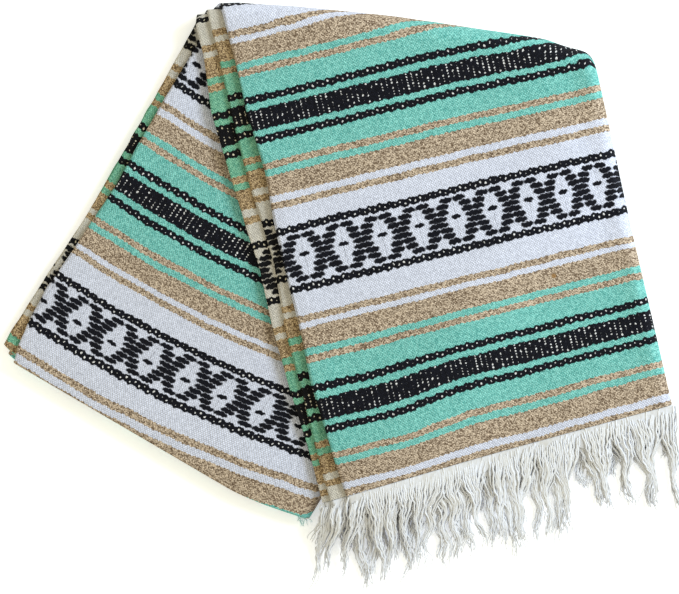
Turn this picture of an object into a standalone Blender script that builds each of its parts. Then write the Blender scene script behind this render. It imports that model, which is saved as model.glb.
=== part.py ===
"""Folded serape: a long striped blanket with fringed ends, folded flat and then bent back in a V.

The blanket is doubled crosswise, so every leaf is two plies with a fold at one end and the two
fringed ends at the other. It is then folded lengthwise into four leaves, and that long pad is bent
back over a ridge: the front leg lies on the back leg and drops off its far edge to the surface.

A point of the pad is given by s, across the leg from left to right, and h, its depth in the pad
from the side that ends up inside the ridge. The front leg, the ridge and the back leg each turn
(s, h) into a place. Leaves are numbered from the outside of the ridge: 1 shows on the front leg,
4 shows on the back leg. +Z is up, and the underside rests at z = 0. Metres.
"""

import math

import bmesh
import bpy

# Cloth and fold
PLY = 0.0022  # one thickness of the blanket
LEAF = 2 * PLY  # pitch of the leaves in the pad, each doubled
GAP = 0.0003  # clearance between pieces
WALL = LEAF - GAP  # thickness of one leaf
PAD = 4 * LEAF - GAP  # thickness of one leg
INNER_RADIUS = GAP  # bend of the innermost leaf's inside face
OUTER_RADIUS = INNER_RADIUS + PAD
AXIS_HEIGHT = OUTER_RADIUS  # of the ridge's bend, so that the back leg lies at z = 0
FOLD_MIDDLE = PAD / 2  # depth of the middle of the pad, where the right-hand folds turn

# Plan of the fold, about the middle of its outline
MIDDLE = (0.0002, -0.0021)
RIDGE_SLOPE = math.radians(-7.6)
RIDGE_TOP = (0.0556, 0.2517)  # a point of the ridge's outer line
FRONT_LEAN = math.radians(13.8)  # the front leg's foot leans right, from straight down
FRONT_HEM_LEFT = (0.0042, -0.1761)
BACK_LEAN = math.radians(30.3)  # the back leg's foot leans left
BACK_FOLD_LEFT = (-0.3046, -0.0609)
FRONT_WIDTH = {"hem": 0.3160, "ridge": 0.3205}
BACK_WIDTH = {"fold": 0.3110, "ridge": 0.3205}
# How far the ridge bows out past a straight line, across the legs
RIDGE_BOW = (
    {"across": -0.0400, "out": -0.0055},
    {"across": 0.0120, "out": 0.0035},
    {"across": 0.0600, "out": 0.0072},
    {"across": 0.1500, "out": 0.0102},
    {"across": 0.2400, "out": 0.0092},
    {"across": 0.2800, "out": 0.0078},
    {"across": 0.3118, "out": 0.0012},
)

# Left edges of the front leg's leaves: how far the top one bows in or out, and how far the second
# and third stand out from under the one above.
FRONT_EDGES = (
    {"along": 0.000, "top": 0.0000, "second": 0.0158, "third": 0.0068},
    {"along": 0.055, "top": -0.0036, "second": 0.0136, "third": 0.0064},
    {"along": 0.105, "top": -0.0066, "second": 0.0106, "third": 0.0100},
    {"along": 0.165, "top": -0.0045, "second": 0.0136, "third": 0.0114},
    {"along": 0.220, "top": -0.0050, "second": 0.0086, "third": 0.0144},
    {"along": 0.260, "top": -0.0040, "second": 0.0118, "third": 0.0150},
    {"along": 0.305, "top": -0.0012, "second": 0.0176, "third": 0.0150},
    {"along": 0.365, "top": -0.0048, "second": 0.0146, "third": 0.0172},
    {"along": 0.420, "top": -0.0036, "second": 0.0142, "third": 0.0130},
    {"along": 0.460, "top": -0.0044, "second": 0.0150, "third": 0.0124},
)
# Left edges of the back leg's leaves, measured up from its fold.
BACK_EDGES = (
    {"along": 0.000, "panel": -0.0010, "third": -0.0172},
    {"along": 0.010, "panel": -0.0046, "third": -0.0176},
    {"along": 0.040, "panel": -0.0080, "third": -0.0165},
    {"along": 0.074, "panel": -0.0090, "third": -0.0155},
    {"along": 0.108, "panel": -0.0060, "third": -0.0136},
    {"along": 0.150, "panel": -0.0040, "third": -0.0119},
    {"along": 0.190, "panel": -0.0016, "third": -0.0115},
    {"along": 0.245, "panel": -0.0029, "third": -0.0120},
    {"along": 0.300, "panel": -0.0031, "third": -0.0122},
    {"along": 0.368, "panel": -0.0016, "third": -0.0140},
)
BACK_SECOND_IN, BACK_FIRST_IN = 0.003, 0.007  # hidden leaves stop short of the third one's edge
FRONT_FOURTH_IN = 0.006
FOLD_RISE = {"from": 0.2330, "height": 0.0130}  # the back leg's fold turns up at its right end
INNER_SHORT = 0.0030  # hidden leaves' folds lie inside the outer ones'
THIRD_CORNER = 0.0070  # the third leaf's left corner lies further up the leg

# The front leg drops off the back leg's right edge over this distance.
DROP = {"start": 0.012, "length": 0.110}

# Headings and fringe, past the hem
HEM_RISE = 0.0095  # the hem runs up along the leg from left to right
HEM_DROP = 0.0078  # its left end lies below the leg's corner
HEM_BOW = 0.0010
HEADING = {"length": 0.0110, "edge_height": 0.0125}
FRINGE_BASE = 0.0115
FRINGE_TIP = 0.0040
FRINGE_REACH = (
    {"across": 0.00, "length": 0.085, "lean": -6.0},
    {"across": 0.20, "length": 0.091, "lean": -1.0},
    {"across": 0.40, "length": 0.088, "lean": 1.0},
    {"across": 0.60, "length": 0.083, "lean": 2.0},
    {"across": 0.80, "length": 0.085, "lean": 2.0},
    {"across": 1.00, "length": 0.078, "lean": 1.0},
)

# Fineness
COLUMNS = 12  # all leaves share them, so that their walls stay parallel where the leg drops
FIRST_COLUMN = 0.012
EDGE_STEPS = 4
FRONT_STATIONS = 17
BACK_STATIONS = 11
RIDGE_STATIONS = 8
HEM_STATIONS = 13
FRINGE_STATIONS = 5

CLOTH_COLOURS = {
    "mint": (0.30, 0.68, 0.52, 1.0),
    "tan": (0.42, 0.31, 0.20, 1.0),
    "white": (0.78, 0.78, 0.80, 1.0),
    "cream": (0.66, 0.60, 0.48, 1.0),
}


def clear_scene():
    for thing in list(bpy.data.objects):
        bpy.data.objects.remove(thing, do_unlink=True)


def direction(angle):
    return (math.cos(angle), math.sin(angle))


def dot(a, b):
    return a[0] * b[0] + a[1] * b[1]


def offset(origin, s, across, t, along):
    return (
        origin[0] + s * across[0] + t * along[0],
        origin[1] + s * across[1] + t * along[1],
    )


def centred(point):
    return (point[0] - MIDDLE[0], point[1] - MIDDLE[1])


def shares(count):
    return [i / (count - 1) for i in range(count)]


def smooth(x):
    x = min(max(x, 0.0), 1.0)
    return x * x * (3 - 2 * x)


def read(table, key, column, at):
    """The column's value at this place, run straight between the table's rows."""
    if at <= table[0][key]:
        return table[0][column]
    for low, high in zip(table, table[1:]):
        if at <= high[key]:
            share = (at - low[key]) / (high[key] - low[key])
            return low[column] + share * (high[column] - low[column])
    return table[-1][column]


# Directions in plan: along and across the ridge, and across and up each leg
RIDGE_ALONG = direction(RIDGE_SLOPE)
RIDGE_OUT = direction(RIDGE_SLOPE + math.pi / 2)
FRONT_ACROSS = direction(FRONT_LEAN)
FRONT_UP = direction(FRONT_LEAN + math.pi / 2)
BACK_ACROSS = direction(-BACK_LEAN)
BACK_UP = direction(math.pi / 2 - BACK_LEAN)
AXIS_POINT = offset(centred(RIDGE_TOP), 0, RIDGE_ALONG, -OUTER_RADIUS, RIDGE_OUT)


def to_axis(corner, s, across, up):
    """How far up the leg its line at s meets the ridge's bowed axis."""
    start = offset(corner, s, across, 0, up)
    gap = (AXIS_POINT[0] - start[0], AXIS_POINT[1] - start[1])
    bow = read(RIDGE_BOW, "across", "out", s)
    return (dot(gap, RIDGE_OUT) + bow) / dot(up, RIDGE_OUT)


class FrontLeg:
    """The leg with the hem, lying over the back leg."""

    corner = centred(FRONT_HEM_LEFT)
    length = to_axis(corner, 0, FRONT_ACROSS, FRONT_UP)

    @staticmethod
    def edges(share):
        """Left and right limits of the leaves at this share of the way from hem to ridge."""
        along = share * FrontLeg.length
        top = read(FRONT_EDGES, "along", "top", along)
        second = top - read(FRONT_EDGES, "along", "second", along)
        third = second - read(FRONT_EDGES, "along", "third", along)
        right = FRONT_WIDTH["hem"] + share * (FRONT_WIDTH["ridge"] - FRONT_WIDTH["hem"])
        return {1: top, 2: second, 3: third, 4: third + FRONT_FOURTH_IN, "right": right}

    @staticmethod
    def hem(s):
        across = s / FRONT_WIDTH["hem"]
        return HEM_RISE * across - HEM_DROP + 4 * HEM_BOW * across * (1 - across)

    @staticmethod
    def plan(s, t):
        return offset(FrontLeg.corner, s, FRONT_ACROSS, t, FRONT_UP)

    @staticmethod
    def place(share, s, h):
        hem = FrontLeg.hem(s)
        end = to_axis(FrontLeg.corner, s, FRONT_ACROSS, FRONT_UP) - GAP
        x, y = FrontLeg.plan(s, hem + share * (end - hem))
        return (x, y, underside(x, y) + h)


class BackLeg:
    """The leg that lies on the surface, with the crosswise fold at its foot."""

    corner = centred(BACK_FOLD_LEFT)
    length = to_axis(corner, 0, BACK_ACROSS, BACK_UP)

    @staticmethod
    def edges(share):
        """Left and right limits of the leaves at this share of the way from ridge to fold."""
        along = (1 - share) * BackLeg.length
        panel = read(BACK_EDGES, "along", "panel", along)
        third = read(BACK_EDGES, "along", "third", along)
        right = BACK_WIDTH["ridge"] + share * (BACK_WIDTH["fold"] - BACK_WIDTH["ridge"])
        return {
            1: third + BACK_FIRST_IN,
            2: third + BACK_SECOND_IN,
            3: third,
            4: panel,
            "right": right,
        }

    @staticmethod
    def fold(s):
        turned = max(s - FOLD_RISE["from"], 0) / (BACK_WIDTH["fold"] - FOLD_RISE["from"])
        corner = max(-s, 0) / abs(BACK_EDGES[0]["third"])
        return FOLD_RISE["height"] * turned**1.5 + THIRD_CORNER * corner

    @staticmethod
    def place(share, s, h, short=0.0):
        foot = BackLeg.fold(s) + short
        top = to_axis(BackLeg.corner, s, BACK_ACROSS, BACK_UP) - GAP
        x, y = offset(BackLeg.corner, s, BACK_ACROSS, top + share * (foot - top), BACK_UP)
        return (x, y, PAD - h)


def underside(x, y):
    """Height of the front leg's underside: on the back leg, then down to the surface."""
    from_corner = (x - BackLeg.corner[0], y - BackLeg.corner[1])
    past = dot(from_corner, BACK_ACROSS) - BACK_WIDTH["ridge"] - DROP["start"]
    return (AXIS_HEIGHT + INNER_RADIUS) * (1 - smooth(past / DROP["length"]))


def over_ridge(turn, front_s, back_s, h):
    """A point of the bend, from the front leg at turn 0 to the back leg at turn pi."""
    front_t = to_axis(FrontLeg.corner, front_s, FRONT_ACROSS, FRONT_UP)
    back_t = to_axis(BackLeg.corner, back_s, BACK_ACROSS, BACK_UP)
    start = FrontLeg.plan(front_s, front_t)
    end = offset(BackLeg.corner, back_s, BACK_ACROSS, back_t, BACK_UP)
    share = turn / math.pi
    radius = INNER_RADIUS + h
    out = radius * math.sin(turn)
    return (
        start[0] + share * (end[0] - start[0]) + out * RIDGE_OUT[0],
        start[1] + share * (end[1] - start[1]) + out * RIDGE_OUT[1],
        AXIS_HEIGHT + radius * math.cos(turn),
    )


def arc(centre_s, centre_h, radius_s, radius_h, start, end, steps):
    """Points inside a round edge's span, without its two ends."""
    angles = [start + (end - start) * i / steps for i in range(1, steps)]
    return [
        (centre_s + radius_s * math.cos(a), centre_h + radius_h * math.sin(a)) for a in angles
    ]


def row(left, right, h):
    """A straight run of the section: its left end, then the columns, closer to the right."""
    columns = [FIRST_COLUMN + (right - FIRST_COLUMN) * u * (1.4 - 0.4 * u) for u in shares(COLUMNS)]
    return [(s, h) for s in [left] + columns]


def outer_section(edges, full=1.0):
    """Leaves 1 and 4 and the right-hand fold that joins them, as one bent wall."""
    half = WALL / 2
    thick = half * full
    turn = FOLD_MIDDLE - half  # centre line of the fold
    top, bottom = FOLD_MIDDLE + turn, FOLD_MIDDLE - turn
    straight_end = edges["right"] - FOLD_MIDDLE
    down = (math.pi / 2, -math.pi / 2)
    up = (-math.pi / 2, math.pi / 2)
    outside, inside = turn + thick, turn - thick
    steps = 2 * EDGE_STEPS
    return (
        row(edges[1] + half, straight_end, top + thick)
        + arc(straight_end, FOLD_MIDDLE, outside, outside, *down, steps)
        + row(edges[4] + half, straight_end, bottom - thick)[::-1]
        + arc(edges[4] + half, bottom, half, thick, 1.5 * math.pi, 0.5 * math.pi, EDGE_STEPS)
        + row(edges[4] + half, straight_end, bottom + thick)
        + arc(straight_end, FOLD_MIDDLE, inside, inside, *up, steps)
        + row(edges[1] + half, straight_end, top - thick)[::-1]
        + arc(edges[1] + half, top, half, thick, 1.5 * math.pi, 0.5 * math.pi, EDGE_STEPS)
    )


def inner_section(edges, full=1.0):
    """Leaves 2 and 3 as one solid, with a groove between their left edges."""
    half = WALL / 2
    low, high = LEAF, 3 * LEAF - GAP
    radius = (high - low) / 2
    straight_end = edges["right"] - LEAF - radius
    groove = max(edges[2], edges[3]) + 2 * WALL
    down = (math.pi / 2, -math.pi / 2)
    left = (1.5 * math.pi, 0.5 * math.pi)
    outline = (
        row(edges[2] + half, straight_end, high)
        + arc(straight_end, FOLD_MIDDLE, radius, radius, *down, 2 * EDGE_STEPS)
        + row(edges[3] + half, straight_end, low)[::-1]
        + arc(edges[3] + half, low + half, half, half, *left, EDGE_STEPS)
        + [(edges[3] + half, low + WALL), (groove, FOLD_MIDDLE), (edges[2] + half, high - WALL)]
        + arc(edges[2] + half, high - half, half, half, *left, EDGE_STEPS)
    )
    return [(s, FOLD_MIDDLE + (h - FOLD_MIDDLE) * full) for s, h in outline]


def front_rings(section):
    rings = []
    for share in shares(FRONT_STATIONS):
        outline = section(FrontLeg.edges(share))
        rings.append([FrontLeg.place(share, s, h) for s, h in outline])
    return rings


def back_rings(section, short, round_radius):
    """Sections down the back leg, the last few closing to its rounded fold."""
    rings = []
    for share in shares(BACK_STATIONS):
        outline = section(BackLeg.edges(share))
        rings.append([BackLeg.place(share, s, h, short + round_radius) for s, h in outline])
    for i in range(1, EDGE_STEPS + 1):
        angle = 0.47 * math.pi * i / EDGE_STEPS
        outline = section(BackLeg.edges(1.0), math.cos(angle))
        ahead = short + round_radius * (1 - math.sin(angle))
        rings.append([BackLeg.place(1.0, s, h, ahead) for s, h in outline])
    return rings


def ridge_rings(section):
    front = section(FrontLeg.edges(1.0))
    back = section(BackLeg.edges(0.0))
    rings = []
    for share in shares(RIDGE_STATIONS):
        turn = math.pi * share
        rings.append(
            [over_ridge(turn, f[0], b[0], f[1]) for f, b in zip(front, back)]
        )
    return rings


def material(name, colour):
    made = bpy.data.materials.new(name)
    made.use_nodes = True
    shader = made.node_tree.nodes["Principled BSDF"]
    shader.inputs["Base Color"].default_value = colour
    shader.inputs["Roughness"].default_value = 0.92
    shader.inputs["Metallic"].default_value = 0.0
    return made


def cap(mesh, loop, rungs):
    """Closes an end, cut into small faces along rungs, pairs of places round the loop."""
    pieces = [loop[rungs[0][1] :] + loop[: rungs[0][0] + 1]]
    for (a, b), (c, d) in zip(rungs, rungs[1:]):
        pieces.append(loop[a : c + 1] + loop[d : b + 1])
    pieces.append(loop[rungs[-1][0] : rungs[-1][1] + 1])
    faces = [mesh.faces.new(piece) for piece in pieces if len(piece) > 2]
    bmesh.ops.triangulate(mesh, faces=faces, ngon_method="EAR_CLIP")


def outer_rungs():
    """Pairs across the bent wall, from leaf 1's left edge round to leaf 4's."""
    outside = 2 * (COLUMNS + 1) + 2 * EDGE_STEPS - 1
    inside_last = 2 * outside + EDGE_STEPS - 2
    return [(i, inside_last - i) for i in range(outside)]


def inner_rungs():
    """Pairs of columns, from leaf 2's top face down to leaf 3's underside."""
    across = 2 * (COLUMNS + EDGE_STEPS)
    return [(i, across - i) for i in range(1, COLUMNS + 1)]


def strip_rungs(points):
    """Pairs of a flat section whose second half runs back over its first."""
    return [(i, points - 1 - i) for i in range(points // 2)]


def solid(name, rings, rungs, colour):
    """A closed body through the rings, each with the same number of points."""
    mesh = bmesh.new()
    loops = [[mesh.verts.new(point) for point in ring] for ring in rings]
    for one, other in zip(loops, loops[1:]):
        for i in range(len(one)):
            near, far = one[i - 1], one[i]
            near_on, far_on = other[i - 1], other[i]
            # Every layer is cut along the same diagonal, so that none dips into the next.
            if near.co.x < far.co.x:
                mesh.faces.new((near, far, far_on))
                mesh.faces.new((near, far_on, near_on))
            else:
                mesh.faces.new((near, far, near_on))
                mesh.faces.new((far, far_on, near_on))
    cap(mesh, loops[0], rungs)
    cap(mesh, loops[-1], rungs)
    bmesh.ops.recalc_face_normals(mesh, faces=mesh.faces)
    data = bpy.data.meshes.new(name)
    mesh.to_mesh(data)
    mesh.free()
    thing = bpy.data.objects.new(name, data)
    bpy.context.collection.objects.link(thing)
    data.materials.append(material(name, CLOTH_COLOURS[colour]))
    data.shade_smooth()
    data.set_sharp_from_angle(angle=math.radians(50))
    return thing


def hem_point(across):
    edges = FrontLeg.edges(0.0)
    s = edges[1] + across * (edges["right"] - edges[1])
    return s, FrontLeg.hem(s)


def heading_rings(low, high):
    """Sections of one end's heading along the hem, between two shares of the pad's thickness."""
    rings = []
    for across in shares(HEM_STATIONS):
        s, t = hem_point(across)
        ring = []
        for along, thickness in ((GAP, PAD), (HEADING["length"], HEADING["edge_height"])):
            x, y = FrontLeg.plan(s, t - along)
            base = underside(x, y)
            ring.append(((x, y, base + low * thickness), (x, y, base + high * thickness)))
        rings.append([ring[0][0], ring[1][0], ring[1][1], ring[0][1]])
    return rings


def fringe_rings(low, high):
    """Sections of one end's fringe along the hem, from the heading out to the tips."""
    rings = []
    for across in shares(HEM_STATIONS):
        s, t = hem_point(across)
        root = FrontLeg.plan(s, t - HEADING["length"] - GAP)
        base = underside(*root)
        length = read(FRINGE_REACH, "across", "length", across)
        lean = math.radians(read(FRINGE_REACH, "across", "lean", across) - 90)
        under, over = [], []
        for share in shares(FRINGE_STATIONS):
            x, y = offset(root, length * share, direction(lean), 0, (0, 0))
            thickness = FRINGE_BASE + share * (FRINGE_TIP - FRINGE_BASE)
            z = base * (1 - smooth(share / 0.7))
            under.append((x, y, z + low * thickness))
            over.append((x, y, z + high * thickness))
        rings.append(under + over[::-1])
    return rings


def build():
    clear_scene()
    half = WALL / 2
    outer, inner = outer_rungs(), inner_rungs()
    back_outer = back_rings(outer_section, 0.0, half)
    back_inner = back_rings(inner_section, INNER_SHORT, 2 * half)
    solid("front_stretch", front_rings(outer_section), outer, "mint")
    solid("ridge_stretch", ridge_rings(outer_section), outer, "tan")
    solid("back_stretch", back_outer, outer, "mint")
    solid("front_inner_leaves", front_rings(inner_section), inner, "cream")
    solid("ridge_inner_leaves", ridge_rings(inner_section), inner, "cream")
    solid("back_inner_leaves", back_inner, inner, "cream")
    flat = strip_rungs(4)
    clear = GAP / HEADING["edge_height"] / 2
    solid("heading_upper", heading_rings(0.5 + clear, 1.0), flat, "white")
    solid("heading_lower", heading_rings(0.0, 0.5 - clear), flat, "white")
    flat = strip_rungs(2 * FRINGE_STATIONS)
    clear = GAP / FRINGE_TIP / 2
    solid("fringe_upper", fringe_rings(0.5 + clear, 1.0), flat, "white")
    solid("fringe_lower", fringe_rings(0.0, 0.5 - clear), flat, "white")


build()
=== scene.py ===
import math
import random

import bmesh
import bpy
from bpy.props import FloatProperty, FloatVectorProperty, IntProperty, PointerProperty
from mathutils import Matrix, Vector, noise


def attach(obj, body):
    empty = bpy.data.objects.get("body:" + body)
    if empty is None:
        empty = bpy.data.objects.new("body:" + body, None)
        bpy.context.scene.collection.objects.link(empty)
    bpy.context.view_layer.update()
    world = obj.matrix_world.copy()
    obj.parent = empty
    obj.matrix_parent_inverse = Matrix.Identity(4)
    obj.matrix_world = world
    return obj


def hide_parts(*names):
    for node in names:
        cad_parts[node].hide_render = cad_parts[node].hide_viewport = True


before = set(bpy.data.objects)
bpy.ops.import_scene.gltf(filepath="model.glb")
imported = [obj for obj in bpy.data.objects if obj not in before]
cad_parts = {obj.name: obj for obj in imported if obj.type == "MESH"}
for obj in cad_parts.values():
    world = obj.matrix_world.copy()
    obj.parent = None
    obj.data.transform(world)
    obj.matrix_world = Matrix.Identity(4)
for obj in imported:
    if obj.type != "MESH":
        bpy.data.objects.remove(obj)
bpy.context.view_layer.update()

bl_info = {
    "name": "Folded serape",
    "version": (1, 0, 0),
    "blender": (4, 5, 0),
    "location": "3D View > Sidebar > Serape",
    "description": "A striped, fringed blanket folded into leaves and bent back in a V",
    "category": "Object",
}


def columns(names, *rows):
    """A table whose rows are read by the names of their columns."""
    return [dict(zip(names.split(), row)) for row in rows]


# ---------------------------------------------------------------- the fold
# The blanket is doubled, folded lengthwise into four leaves, and bent back over a ridge.
# A place in the pad is s, across the leg from the left, and h, its depth from the inside of the ridge.

PLY = 0.0022
LEAF = 2 * PLY
GAP = 0.0003
WALL = LEAF - GAP
PAD = 4 * LEAF - GAP
INNER_RADIUS = GAP
AXIS_HEIGHT = INNER_RADIUS + PAD
FOLD_MIDDLE = PAD / 2

MIDDLE = (0.0002, -0.0021)
RIDGE_SLOPE = math.radians(-7.6)
RIDGE_TOP = (0.0556, 0.2517)
FRONT_LEAN = math.radians(13.8)
FRONT_HEM_LEFT = (0.0042, -0.1761)
BACK_LEAN = math.radians(30.3)
BACK_FOLD_LEFT = (-0.3046, -0.0609)
FRONT_WIDTH = {"hem": 0.3160, "ridge": 0.3205}
BACK_WIDTH = {"fold": 0.3110, "ridge": 0.3205}
RIDGE_BOW = columns(
    "across out",
    (-0.0400, -0.0055),
    (0.0120, 0.0035),
    (0.0600, 0.0072),
    (0.1500, 0.0102),
    (0.2400, 0.0092),
    (0.2800, 0.0078),
    (0.3118, 0.0012),
)
FRONT_EDGES = columns(
    "along top second third",
    (0.000, 0.0000, 0.0158, 0.0068),
    (0.055, -0.0036, 0.0136, 0.0064),
    (0.105, -0.0066, 0.0106, 0.0100),
    (0.165, -0.0045, 0.0136, 0.0114),
    (0.220, -0.0050, 0.0086, 0.0144),
    (0.260, -0.0040, 0.0118, 0.0150),
    (0.305, -0.0012, 0.0176, 0.0150),
    (0.365, -0.0048, 0.0146, 0.0172),
    (0.420, -0.0036, 0.0142, 0.0130),
    (0.460, -0.0044, 0.0150, 0.0124),
)
BACK_EDGES = columns(
    "along panel third",
    (0.000, -0.0010, -0.0172),
    (0.010, -0.0046, -0.0176),
    (0.040, -0.0080, -0.0165),
    (0.074, -0.0090, -0.0155),
    (0.108, -0.0060, -0.0136),
    (0.150, -0.0040, -0.0119),
    (0.190, -0.0016, -0.0115),
    (0.245, -0.0029, -0.0120),
    (0.300, -0.0031, -0.0122),
    (0.368, -0.0016, -0.0140),
)
BACK_SECOND_IN, BACK_FIRST_IN = 0.003, 0.007
FRONT_FOURTH_IN = 0.006
FOLD_RISE = {"from": 0.2330, "height": 0.0130}
INNER_SHORT = 0.0030
THIRD_CORNER = 0.0070
DROP = {"start": 0.012, "length": 0.110}
HEM_RISE, HEM_DROP, HEM_BOW = 0.0095, 0.0078, 0.0010
HEADING_LENGTH = 0.0110

# ---------------------------------------------------------------- the weave
# Stripes up the blanket from its end, in millimetres. The list is one repeat.
STRIPES = (
    ("tan", 6.1), ("white", 5.8), ("tan", 19.2), ("mint", 7.0), ("tan", 5.9), ("mint", 19.3),
    ("mint", 6.2), ("mint", 5.6), ("black", 20.4), ("mint", 6.0), ("mint", 6.3), ("mint", 19.8),
    ("tan", 6.0), ("mint", 6.3), ("tan", 18.9), ("white", 6.0), ("tan", 5.9), ("white", 22.4),
    ("white", 7.0), ("white", 47.5), ("white", 7.0), ("white", 17.7),
)
REPEAT = sum(width for _, width in STRIPES)


def stripe_middle(place):
    return sum(width for _, width in STRIPES[:place]) + STRIPES[place][1] / 2


CHAINS = tuple(stripe_middle(place) for place in (6, 10, 18, 20))
BLACK_BAND = stripe_middle(8)
DIAMOND_START = stripe_middle(19) - 22.0
DIAMOND_ROW = 5.5
DIAMOND_OFFSET, DIAMOND_CROWDING = 34.6, 0.7
CHAIN_HALF, BLACK_BAND_HALF, SPOTTED_HALF = 3.45, 10.0, 9.0
SPOT_PITCH, DASH_HALF = 2.8, 2.8
SLUB_PLACE, SLUB_SIZE = (236.0, 151.0), 3.2
# Painted shade: a warm cream darkening that the colour of the middle leaves is multiplied by, for the
# shade on their edges
PAINTED_SHADE_TINT = (0.88, 0.77, 0.50)
# One row of the diamond band after another: how far its dashes lie from the crossing and their
# half length, and the half length of the dot in the diamond, all as shares of the repeat.
DIAMOND_ROWS = columns(
    "dash half dot",
    (0.315, 0.180, 0.0),
    (0.190, 0.184, 0.0),
    (0.165, 0.188, 0.0),
    (0.000, 0.275, 0.0),
    (0.000, 0.255, 0.138),
    (0.150, 0.174, 0.0),
    (0.190, 0.180, 0.0),
    (0.318, 0.182, 0.0),
)

# Where the weave lies on the front leg: how far ahead of the leg's own measure it is, at its left,
# middle and right. Metres up from the hem's corner.
FRONT_MARKS = columns(
    "up left middle right",
    (0.000, 0.0074, 0.0034, 0.0002),
    (0.036, 0.0096, 0.0028, 0.0000),
    (0.060, 0.0096, 0.0019, 0.0010),
    (0.080, 0.0092, 0.0026, 0.0022),
    (0.100, 0.0077, 0.0040, 0.0032),
    (0.142, 0.0061, 0.0060, 0.0056),
    (0.189, 0.0065, 0.0065, 0.0076),
    (0.245, 0.0056, 0.0062, 0.0079),
    (0.286, 0.0060, 0.0065, 0.0087),
    (0.330, 0.0059, 0.0060, 0.0098),
    (0.360, 0.0064, 0.0062, 0.0132),
)
# The second and third leaves of the front leg slipped against the first.
FRONT_SLIPS = columns(
    "up second third",
    (0.000, -0.0125, -0.0040),
    (0.150, -0.0128, 0.0045),
    (0.240, -0.0115, 0.0065),
    (0.420, -0.0056, 0.0065),
)
# Where the weave lies at the back leg's left edge, up from its fold
BACK_MARKS = columns(
    "up weave",
    (-0.0300, 0.8630),
    (0.0000, 0.8321),
    (0.0176, 0.8160),
    (0.0414, 0.7958),
    (0.0920, 0.7412),
    (0.1985, 0.6287),
    (0.3020, 0.5240),
    (0.3700, 0.4556),
)
BACK_THIRD_SLIP = 0.0360

# Fineness
COLUMNS, FIRST_COLUMN, ARC_STEPS, EDGE_STEPS = 56, 0.012, 14, 5
FRONT_STATIONS, RIDGE_STATIONS, BACK_STATIONS, CLOSING_STEPS = 84, 16, 72, 6
LAST_TURN = 0.49 * math.pi


def direction(angle):
    return (math.cos(angle), math.sin(angle))


def dot(a, b):
    return a[0] * b[0] + a[1] * b[1]


def offset(origin, s, across, t, along):
    return (
        origin[0] + s * across[0] + t * along[0],
        origin[1] + s * across[1] + t * along[1],
    )


def centred(point):
    return (point[0] - MIDDLE[0], point[1] - MIDDLE[1])


def shares(count):
    return [i / (count - 1) for i in range(count)]


def between(a, b, share):
    return a + (b - a) * share


def smooth(x):
    x = min(max(x, 0.0), 1.0)
    return x * x * (3 - 2 * x)


def hump(x, middle, width):
    """One soft rise of height 1."""
    return math.exp(-(((x - middle) / width) ** 2))


def read(table, key, column, at):
    """The column's value at this place, run straight between the table's rows."""
    if at <= table[0][key]:
        return table[0][column]
    for low, high in zip(table, table[1:]):
        if at <= high[key]:
            return between(low[column], high[column], (at - low[key]) / (high[key] - low[key]))
    return table[-1][column]


RIDGE_ALONG = direction(RIDGE_SLOPE)
RIDGE_OUT = direction(RIDGE_SLOPE + math.pi / 2)
FRONT_ACROSS = direction(FRONT_LEAN)
FRONT_UP = direction(FRONT_LEAN + math.pi / 2)
BACK_ACROSS = direction(-BACK_LEAN)
BACK_UP = direction(math.pi / 2 - BACK_LEAN)
AXIS_POINT = offset(centred(RIDGE_TOP), 0, RIDGE_ALONG, -AXIS_HEIGHT, RIDGE_OUT)
FRONT_CORNER = centred(FRONT_HEM_LEFT)
BACK_CORNER = centred(BACK_FOLD_LEFT)


def to_axis(corner, s, across, up):
    """How far up the leg its line at s meets the ridge's bowed axis."""
    start = offset(corner, s, across, 0, up)
    gap = (AXIS_POINT[0] - start[0], AXIS_POINT[1] - start[1])
    bow = read(RIDGE_BOW, "across", "out", s)
    return (dot(gap, RIDGE_OUT) + bow) / dot(up, RIDGE_OUT)


def front_top(s):
    return to_axis(FRONT_CORNER, s, FRONT_ACROSS, FRONT_UP)


def back_top(s):
    return to_axis(BACK_CORNER, s, BACK_ACROSS, BACK_UP)


def front_plan(s, t):
    return offset(FRONT_CORNER, s, FRONT_ACROSS, t, FRONT_UP)


def back_plan(s, t):
    return offset(BACK_CORNER, s, BACK_ACROSS, t, BACK_UP)


def hem(s):
    across = s / FRONT_WIDTH["hem"]
    return HEM_RISE * across - HEM_DROP + 4 * HEM_BOW * across * (1 - across)


def fold(s):
    """How far up the back leg its crosswise fold lies."""
    turned = max(s - FOLD_RISE["from"], 0) / (BACK_WIDTH["fold"] - FOLD_RISE["from"])
    corner = max(-s, 0) / abs(BACK_EDGES[0]["third"])
    return FOLD_RISE["height"] * turned**1.5 + THIRD_CORNER * corner


def underside(x, y):
    """Height of the front leg's underside: on the back leg, then down to the surface."""
    from_corner = (x - BACK_CORNER[0], y - BACK_CORNER[1])
    past = dot(from_corner, BACK_ACROSS) - BACK_WIDTH["ridge"] - DROP["start"]
    return (AXIS_HEIGHT + INNER_RADIUS) * (1 - smooth(past / DROP["length"]))


def front_edges(share):
    along = share * front_top(0.0)
    top = read(FRONT_EDGES, "along", "top", along)
    second = top - read(FRONT_EDGES, "along", "second", along)
    third = second - read(FRONT_EDGES, "along", "third", along)
    right = between(FRONT_WIDTH["hem"], FRONT_WIDTH["ridge"], share)
    return {1: top, 2: second, 3: third, 4: third + FRONT_FOURTH_IN, "right": right}


def back_edges(share):
    along = (1 - share) * back_top(0.0)
    panel = read(BACK_EDGES, "along", "panel", along)
    third = read(BACK_EDGES, "along", "third", along)
    right = between(BACK_WIDTH["ridge"], BACK_WIDTH["fold"], share)
    return {
        1: third + BACK_FIRST_IN,
        2: third + BACK_SECOND_IN,
        3: third,
        4: panel,
        "right": right,
    }


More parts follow.
